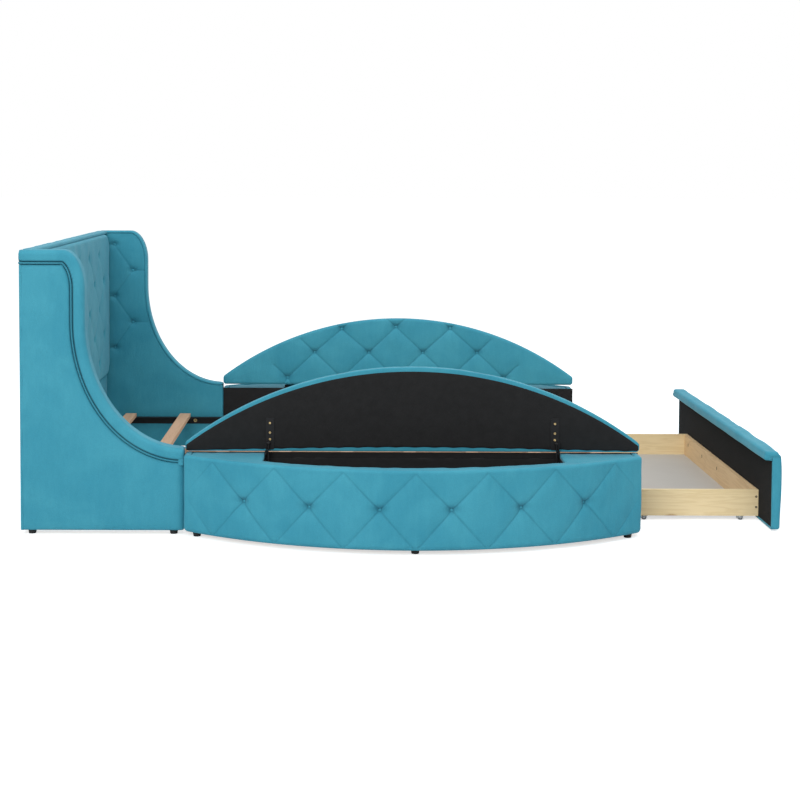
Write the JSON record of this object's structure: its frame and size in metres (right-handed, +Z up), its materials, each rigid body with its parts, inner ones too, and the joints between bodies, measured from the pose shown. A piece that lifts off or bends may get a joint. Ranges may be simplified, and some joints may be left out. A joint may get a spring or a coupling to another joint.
{
  "type": "platform bed",
  "caption": "Upholstered queen platform bed with a tufted wing headboard, bowed storage boxes under lift-up lids and a pull-out foot drawer on casters.",
  "frame": {"origin": "centre of the footprint on the floor, with both lids open and the foot drawer pulled out", "axes": "+X runs from the headboard to the foot, +Z is up, and +Y is the right side as seen from the foot looking at the headboard"},
  "size_m": [2.641, 2.22, 0.984],
  "materials": {
    "teal_velvet": "short-pile velvet over foam",
    "black_lining": "matte non-woven lining",
    "black_cloth_board": "plywood wrapped in black cloth",
    "pine": "clear satin pine",
    "slat_wood": "sawn pine",
    "frame_board": "plywood",
    "drawer_base": "pale grey faced board",
    "black_steel": "black powder coat",
    "caster_zinc": "grey moulded",
    "black_glide": "black moulded"
  },
  "bodies": {
    "base": {"headboard_frame": "frame_board", "headboard_back_cover": "teal_velvet", "headboard_pad": "teal_velvet", "headboard_apron": "teal_velvet", "headboard_buttons": "teal_velvet", "wing_frame_left": "frame_board", "wing_frame_right": "frame_board", "wing_outer_panels": "teal_velvet", "wing_inner_pad_left": "teal_velvet", "wing_inner_pad_right": "teal_velvet", "wing_edge_band_left": "teal_velvet", "wing_edge_band_right": "teal_velvet", "wing_piping": "teal_velvet", "wing_buttons": "teal_velvet", "box_floors": "frame_board", "box_cross_boards": "frame_board", "box_linings": "black_lining", "box_buttons": "teal_velvet", "hinge_plates": "black_steel", "platform_rails": "black_steel", "slats": "slat_wood", "centre_rail": "slat_wood", "centre_legs": "black_steel", "floor_glides": "black_glide", "box_inner_wall_left": "frame_board", "box_bow_panel_left": "frame_board", "box_deck_left": "teal_velvet", "box_front_pad_left": "teal_velvet", "box_inner_wall_right": "frame_board", "box_bow_panel_right": "frame_board", "box_deck_right": "teal_velvet", "box_front_pad_right": "teal_velvet"},
    "lid_left": {"lid_board_left": "frame_board", "lid_pad_left": "teal_velvet", "lid_lining_left": "black_lining", "lid_buttons_left": "teal_velvet", "lid_brackets_left": "black_steel"},
    "lid_right": {"lid_board_right": "frame_board", "lid_pad_right": "teal_velvet", "lid_lining_right": "black_lining", "lid_buttons_right": "teal_velvet", "lid_brackets_right": "black_steel"},
    "drawer": {"drawer_sides": "pine", "drawer_front_board": "pine", "drawer_back_board": "pine", "drawer_bottom": "drawer_base", "drawer_face_board": "black_cloth_board", "drawer_face_pad": "teal_velvet", "drawer_face_lip": "teal_velvet", "caster_yokes": "caster_zinc"},
    "stay_head_left": {"lid_stay_head_left": "black_steel"},
    "stay_foot_left": {"lid_stay_foot_left": "black_steel"},
    "wheel_back_left": {"caster_wheel_back_left": "caster_zinc"},
    "wheel_front_left": {"caster_wheel_front_left": "caster_zinc"},
    "stay_head_right": {"lid_stay_head_right": "black_steel"},
    "stay_foot_right": {"lid_stay_foot_right": "black_steel"},
    "wheel_back_right": {"caster_wheel_back_right": "caster_zinc"},
    "wheel_front_right": {"caster_wheel_front_right": "caster_zinc"}
  },
  "joints": [
    {"name": "lid_left_hinge", "type": "hinge", "parent": "base", "child": "lid_left", "pos_m": [0.0305, -0.7965, 0.285], "axis": [-1, 0, 0], "range_deg": [-88, 0]},
    {"name": "stay_head_left_pivot", "type": "hinge", "parent": "lid_left", "child": "stay_head_left", "pos_m": [-0.467, -0.81364, 0.31742], "axis": [-1, 0, 0], "range_deg": [0, 88]},
    {"name": "stay_foot_left_pivot", "type": "hinge", "parent": "lid_left", "child": "stay_foot_left", "pos_m": [0.528, -0.81364, 0.31742], "axis": [-1, 0, 0], "range_deg": [0, 88]},
    {"name": "lid_right_hinge", "type": "hinge", "parent": "base", "child": "lid_right", "pos_m": [0.0305, 0.7965, 0.285], "axis": [1, 0, 0], "range_deg": [-88, 0]},
    {"name": "stay_head_right_pivot", "type": "hinge", "parent": "lid_right", "child": "stay_head_right", "pos_m": [-0.467, 0.81364, 0.31742], "axis": [1, 0, 0], "range_deg": [0, 88]},
    {"name": "stay_foot_right_pivot", "type": "hinge", "parent": "lid_right", "child": "stay_foot_right", "pos_m": [0.528, 0.81364, 0.31742], "axis": [1, 0, 0], "range_deg": [0, 88]},
    {"name": "drawer_slide", "type": "slide", "parent": "base", "child": "drawer", "axis": [1, 0, 0], "range_m": [-0.469, 0]},
    {"name": "wheel_back_left_roll", "type": "hinge", "parent": "drawer", "child": "wheel_back_left", "pos_m": [0.8785, -0.568, 0.007], "axis": [0, 1, 0], "continuous": true},
    {"name": "wheel_back_right_roll", "type": "hinge", "parent": "drawer", "child": "wheel_back_right", "pos_m": [0.8785, 0.568, 0.007], "axis": [0, 1, 0], "continuous": true},
    {"name": "wheel_front_left_roll", "type": "hinge", "parent": "drawer", "child": "wheel_front_left", "pos_m": [1.2265, -0.568, 0.007], "axis": [0, 1, 0], "continuous": true},
    {"name": "wheel_front_right_roll", "type": "hinge", "parent": "drawer", "child": "wheel_front_right", "pos_m": [1.2265, 0.568, 0.007], "axis": [0, 1, 0], "continuous": true}
  ],
  "couplings": [
    {"joint": "stay_head_left_pivot", "follows": "lid_left_hinge", "ratio": -1},
    {"joint": "stay_foot_left_pivot", "follows": "lid_left_hinge", "ratio": -1},
    {"joint": "stay_head_right_pivot", "follows": "lid_right_hinge", "ratio": -1},
    {"joint": "stay_foot_right_pivot", "follows": "lid_right_hinge", "ratio": -1},
    {"joint": "wheel_back_left_roll", "follows": "drawer_slide", "rad_per_m": 142.86},
    {"joint": "wheel_back_right_roll", "follows": "drawer_slide", "rad_per_m": 142.86},
    {"joint": "wheel_front_left_roll", "follows": "drawer_slide", "rad_per_m": 142.86},
    {"joint": "wheel_front_right_roll", "follows": "drawer_slide", "rad_per_m": 142.86}
  ]
}
